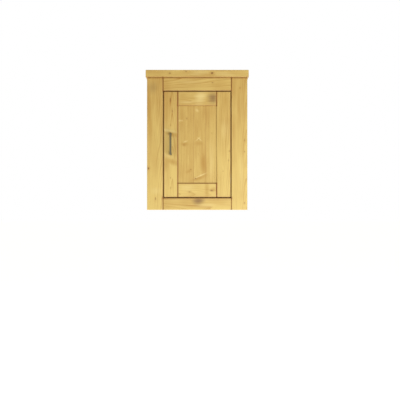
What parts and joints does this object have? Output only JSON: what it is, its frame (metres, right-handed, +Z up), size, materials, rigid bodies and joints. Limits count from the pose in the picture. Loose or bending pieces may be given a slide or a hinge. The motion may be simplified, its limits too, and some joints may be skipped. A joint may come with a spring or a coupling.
{
  "type": "wall cabinet",
  "caption": "Hanging wall cabinet of solid pine with a face frame, an inset panelled door on concealed hinges, a shelf and a bow handle.",
  "frame": {"origin": "middle of the hanging rail's back face, which lies on the wall", "axes": "+X towards the hinge side, +Y into the wall, +Z up; the front faces -Y"},
  "size_m": [0.498, 0.3303, 0.6763],
  "materials": {
    "pine": "waxed solid pine, satin",
    "handle_steel": "satin, darkened",
    "nickelled_steel": "nickel plated",
    "zinc_steel": "zinc plated",
    "catch_plastic": "matt",
    "clear_rubber": "matt"
  },
  "bodies": {
    "cabinet": {"arm_screw_lower": "nickelled_steel", "arm_screw_upper": "nickelled_steel", "back_board_1": "pine", "back_board_2": "pine", "back_board_3": "pine", "back_board_4": "pine", "back_board_5": "pine", "bumper_lower": "clear_rubber", "bumper_upper": "clear_rubber", "cap_board": "pine", "catch_magnet": "catch_plastic", "floor_panel": "pine", "frame_rail_bottom": "pine", "frame_rail_top": "pine", "frame_stile_left": "pine", "frame_stile_right": "pine", "hanger_left": "zinc_steel", "hanger_right": "zinc_steel", "hanger_screw_left_lower": "zinc_steel", "hanger_screw_left_upper": "zinc_steel", "hanger_screw_right_lower": "zinc_steel", "hanger_screw_right_upper": "zinc_steel", "hanging_rail": "pine", "hinge_arm_lower": "nickelled_steel", "hinge_arm_upper": "nickelled_steel", "hinge_lath": "pine", "hinge_plate_lower": "nickelled_steel", "hinge_plate_upper": "nickelled_steel", "lower_rail": "pine", "plate_screw_lower_lower": "nickelled_steel", "plate_screw_lower_upper": "nickelled_steel", "plate_screw_upper_lower": "nickelled_steel", "plate_screw_upper_upper": "nickelled_steel", "shelf": "pine", "shelf_pin_left_front": "nickelled_steel", "shelf_pin_left_rear": "nickelled_steel", "shelf_pin_right_front": "nickelled_steel", "shelf_pin_right_rear": "nickelled_steel", "side_left": "pine", "side_right": "pine", "stop_lath": "pine"},
    "door": {"catch_strike": "nickelled_steel", "cup_screw_lower_lower": "nickelled_steel", "cup_screw_lower_upper": "nickelled_steel", "cup_screw_upper_lower": "nickelled_steel", "cup_screw_upper_upper": "nickelled_steel", "door_panel": "pine", "door_rail_bottom": "pine", "door_rail_top": "pine", "door_stile_free": "pine", "door_stile_hinge": "pine", "handle": "handle_steel", "handle_screw_lower": "nickelled_steel", "handle_screw_upper": "nickelled_steel", "hinge_cup_lower": "nickelled_steel", "hinge_cup_upper": "nickelled_steel", "hinge_pin_lower": "nickelled_steel", "hinge_pin_upper": "nickelled_steel"}
  },
  "joints": [
    {"name": "door_hinge", "type": "hinge", "parent": "cabinet", "child": "door", "pos_m": [0.14321, -0.287, -0.2895], "axis": [0, 0, 1], "range_deg": [0, 95]}
  ]
}
